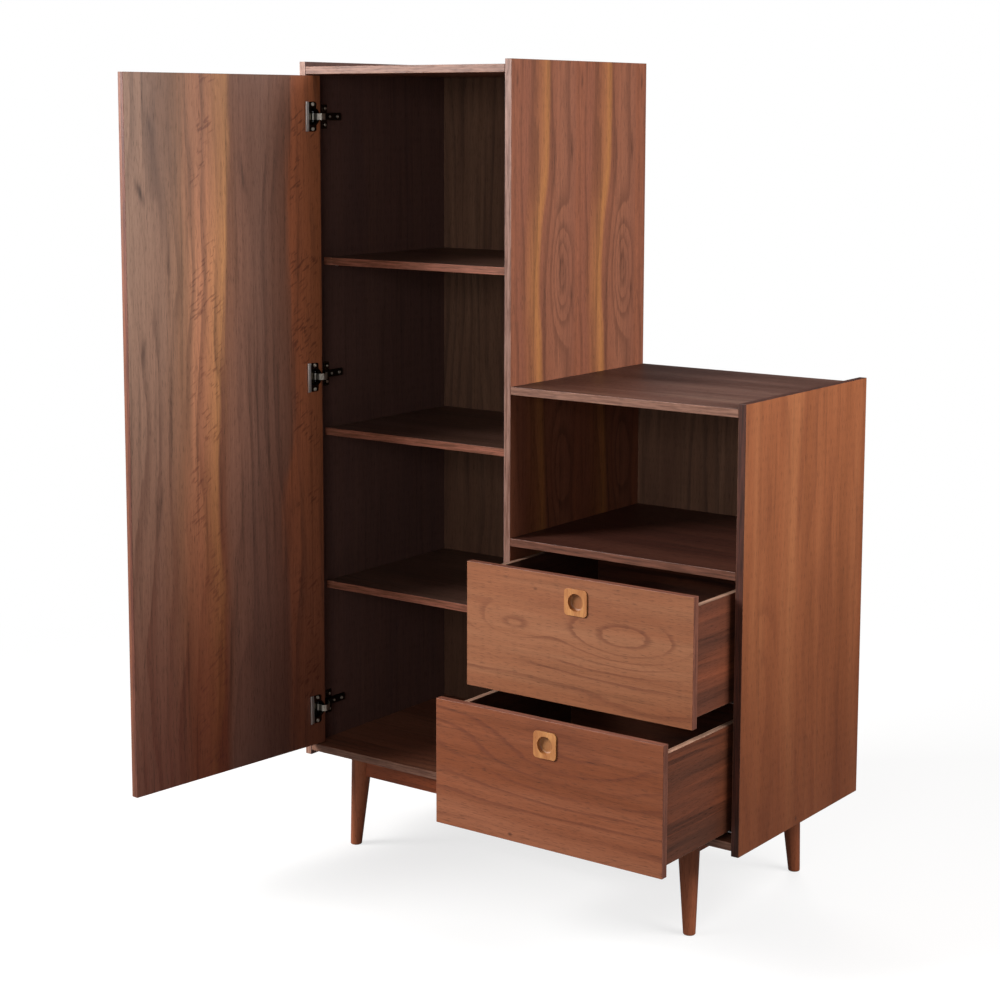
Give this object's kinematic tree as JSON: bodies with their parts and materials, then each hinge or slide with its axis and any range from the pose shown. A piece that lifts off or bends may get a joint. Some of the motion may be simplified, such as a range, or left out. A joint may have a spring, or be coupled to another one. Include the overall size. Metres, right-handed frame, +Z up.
{
  "type": "storage cabinet",
  "caption": "Stepped walnut cabinet on splayed legs: a tall cupboard with a hinged door and shelves beside a low open cubby over sliding drawers.",
  "frame": {"origin": "bottom centre of the whole box in the rest pose, with the door open and the drawers pulled out; Z = 0 is the floor under the feet", "axes": "+Z up; +Y into the cabinet from its front, so the door and drawers open towards -Y; +X to the right seen from the front, from the tall side to the low side"},
  "size_m": [1.0422, 0.9213, 1.578],
  "materials": {
    "walnut_veneer": "walnut veneer, satin lacquer",
    "walnut_solid": "turned solid wood, walnut stain, satin lacquer",
    "walnut_inner": "thin dark walnut board, matt lacquer",
    "handle_wood": "paler solid wood, satin lacquer",
    "nickel": "nickel-plated pressed steel",
    "zinc": "zinc-plated rolled steel"
  },
  "bodies": {
    "cabinet": {"left_side_panel": "walnut_veneer", "middle_panel": "walnut_veneer", "right_side_panel": "walnut_veneer", "tall_top": "walnut_veneer", "low_top": "walnut_veneer", "cubby_floor": "walnut_veneer", "tall_bottom": "walnut_veneer", "low_bottom": "walnut_veneer", "tall_back": "walnut_inner", "low_back": "walnut_inner", "lower_shelf": "walnut_veneer", "centre_shelf": "walnut_veneer", "upper_shelf": "walnut_veneer", "front_rail": "walnut_solid", "back_rail": "walnut_solid", "left_rail": "walnut_solid", "right_rail": "walnut_solid", "front_left_leg": "walnut_solid", "front_right_leg": "walnut_solid", "back_left_leg": "walnut_solid", "back_right_leg": "walnut_solid", "lower_hinge_arm": "nickel", "middle_hinge_arm": "nickel", "upper_hinge_arm": "nickel", "lower_mounting_plate": "nickel", "middle_mounting_plate": "nickel", "upper_mounting_plate": "nickel", "upper_left_cabinet_member": "zinc", "upper_right_cabinet_member": "zinc", "lower_left_cabinet_member": "zinc", "lower_right_cabinet_member": "zinc"},
    "door": {"door_panel": "walnut_veneer", "door_handle": "handle_wood", "lower_hinge_cup": "nickel", "middle_hinge_cup": "nickel", "upper_hinge_cup": "nickel", "lower_hinge_pin": "zinc", "middle_hinge_pin": "zinc", "upper_hinge_pin": "zinc"},
    "upper_drawer": {"upper_drawer_front": "walnut_veneer", "upper_drawer_left_side": "walnut_veneer", "upper_drawer_right_side": "walnut_veneer", "upper_drawer_back": "walnut_veneer", "upper_drawer_bottom": "walnut_inner", "upper_drawer_handle": "handle_wood", "upper_left_drawer_member": "zinc", "upper_right_drawer_member": "zinc"},
    "lower_drawer": {"lower_drawer_front": "walnut_veneer", "lower_drawer_left_side": "walnut_veneer", "lower_drawer_right_side": "walnut_veneer", "lower_drawer_back": "walnut_veneer", "lower_drawer_bottom": "walnut_inner", "lower_drawer_handle": "handle_wood", "lower_left_drawer_member": "zinc", "lower_right_drawer_member": "zinc"},
    "upper_runner_middles": {"upper_left_middle_member": "zinc", "upper_right_middle_member": "zinc"},
    "lower_runner_middles": {"lower_left_middle_member": "zinc", "lower_right_middle_member": "zinc"}
  },
  "joints": [
    {"name": "door_hinge", "type": "hinge", "parent": "cabinet", "child": "door", "pos_m": [-0.46548, 0.00716, 0.9], "axis": [0, 0, -1], "range_deg": [-96, 14]},
    {"name": "upper_drawer_slide", "type": "slide", "parent": "cabinet", "child": "upper_drawer", "axis": [0, -1, 0], "range_m": [-0.136, 0.244]},
    {"name": "lower_drawer_slide", "type": "slide", "parent": "cabinet", "child": "lower_drawer", "axis": [0, -1, 0], "range_m": [-0.228, 0.152]},
    {"name": "upper_runner_slide", "type": "slide", "parent": "cabinet", "child": "upper_runner_middles", "axis": [0, -1, 0], "range_m": [-0.068, 0.122]},
    {"name": "lower_runner_slide", "type": "slide", "parent": "cabinet", "child": "lower_runner_middles", "axis": [0, -1, 0], "range_m": [-0.114, 0.076]}
  ],
  "couplings": [
    {"joint": "upper_runner_slide", "follows": "upper_drawer_slide", "ratio": 0.5},
    {"joint": "lower_runner_slide", "follows": "lower_drawer_slide", "ratio": 0.5}
  ]
}
